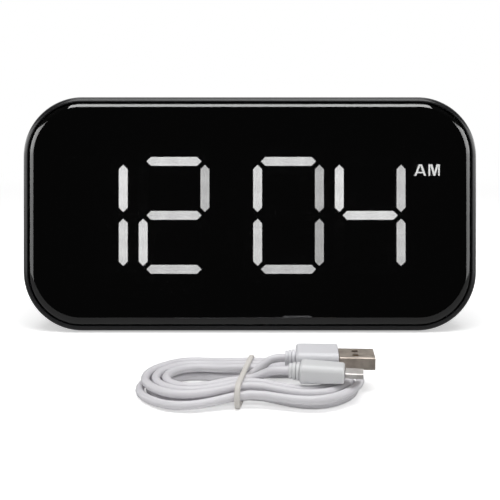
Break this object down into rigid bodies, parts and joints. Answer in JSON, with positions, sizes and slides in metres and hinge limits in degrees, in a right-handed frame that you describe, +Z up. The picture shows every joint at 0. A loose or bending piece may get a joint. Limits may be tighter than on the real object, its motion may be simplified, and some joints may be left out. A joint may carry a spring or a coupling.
{
  "type": "digital alarm clock",
  "caption": "Low wide alarm clock with rounded corners, a smoked front over lit segment figures, a snooze bar, rear keys and battery bay, with a tied charging cable.",
  "frame": {"origin": "middle of the clock on the surface that it stands on, without the cable", "axes": "+X to the right seen from the front, the clock faces -Y, +Z up; the cable lies in front of it"},
  "size_m": [0.1994, 0.1513, 0.102],
  "materials": {
    "housing_black": "smooth moulded black",
    "cover_black": "fine matt moulded black",
    "smoked_acrylic": "polished smoked plate",
    "mask_black": "matt black",
    "milky_sheet": "milky translucent",
    "reflector_white": "matt white",
    "board_green": "green lacquered board",
    "screw_steel": "zinc plated",
    "part_black": "black moulding",
    "foot_rubber": "matt black rubber",
    "key_black": "satin black",
    "contact_plate": "plated spring strip",
    "ribbon_grey": "pale flat cable",
    "cord_white": "soft white sheath",
    "grip_white": "satin white overmould",
    "plug_nickel": "nickel plated",
    "tie_cream": "off-white soft plastic"
  },
  "bodies": {
    "clock": {"front_housing": "housing_black", "rear_cover": "cover_black", "front_lens": "smoked_acrylic", "window_mask": "mask_black", "segment_diffuser": "milky_sheet", "light_box": "reflector_white", "display_board": "board_green", "control_board": "board_green", "display_screw_1": "screw_steel", "display_screw_2": "screw_steel", "display_screw_3": "screw_steel", "display_screw_4": "screw_steel", "cover_screw_1": "screw_steel", "cover_screw_2": "screw_steel", "cover_screw_3": "screw_steel", "cover_screw_4": "screw_steel", "control_screw_1": "screw_steel", "control_screw_2": "screw_steel", "control_screw_3": "screw_steel", "control_screw_4": "screw_steel", "power_socket": "screw_steel", "set_switch": "part_black", "alarm_switch": "part_black", "up_switch": "part_black", "down_switch": "part_black", "snooze_switch": "part_black", "power_socket_tongue": "part_black", "buzzer": "part_black", "foot_1": "foot_rubber", "foot_2": "foot_rubber", "foot_3": "foot_rubber", "foot_4": "foot_rubber", "battery_contact_minus": "contact_plate", "battery_contact_link_1": "contact_plate", "battery_contact_link_2": "contact_plate", "battery_contact_plus": "contact_plate", "ribbon_cable": "ribbon_grey"},
    "snooze": {"snooze_bar": "housing_black", "snooze_plunger": "key_black"},
    "battery_door": {"battery_door": "cover_black"},
    "cable": {"cable_hank": "cord_white", "cable_lead_plug": "cord_white", "cable_lead_tip": "cord_white", "cable_tie": "tie_cream", "plug_grip": "grip_white", "plug_shell": "plug_nickel", "plug_core": "grip_white", "tip_grip": "grip_white", "tip_shell": "screw_steel"},
    "set_key": {"set_key": "key_black", "set_plunger": "key_black"},
    "alarm_key": {"alarm_key": "key_black", "alarm_plunger": "key_black"},
    "up_key": {"up_key": "key_black", "up_plunger": "key_black"},
    "down_key": {"down_key": "key_black", "down_plunger": "key_black"}
  },
  "joints": [
    {"name": "snooze_press", "type": "slide", "parent": "clock", "child": "snooze", "axis": [0, -0.1736, -0.9848], "range_m": [0, 0.0005], "stiffness_N_per_m": 2500, "springref_m": -0.0004},
    {"name": "set_key_press", "type": "slide", "parent": "clock", "child": "set_key", "axis": [0, -0.9848, 0.1736], "range_m": [0, 0.0005], "stiffness_N_per_m": 2000, "springref_m": -0.0004},
    {"name": "alarm_key_press", "type": "slide", "parent": "clock", "child": "alarm_key", "axis": [0, -0.9848, 0.1736], "range_m": [0, 0.0005], "stiffness_N_per_m": 2000, "springref_m": -0.0004},
    {"name": "up_key_press", "type": "slide", "parent": "clock", "child": "up_key", "axis": [0, -0.9848, 0.1736], "range_m": [0, 0.0005], "stiffness_N_per_m": 2000, "springref_m": -0.0004},
    {"name": "down_key_press", "type": "slide", "parent": "clock", "child": "down_key", "axis": [0, -0.9848, 0.1736], "range_m": [0, 0.0005], "stiffness_N_per_m": 2000, "springref_m": -0.0004},
    {"name": "battery_door_hinge", "type": "hinge", "parent": "clock", "child": "battery_door", "pos_m": [0, 0.01355, 0.01532], "axis": [-1, 0, 0], "range_deg": [0, 60]},
    {"name": "cable_slide", "type": "slide", "parent": "clock", "child": "cable", "axis": [0, -1, 0], "range_m": [0, 0.12]}
  ]
}
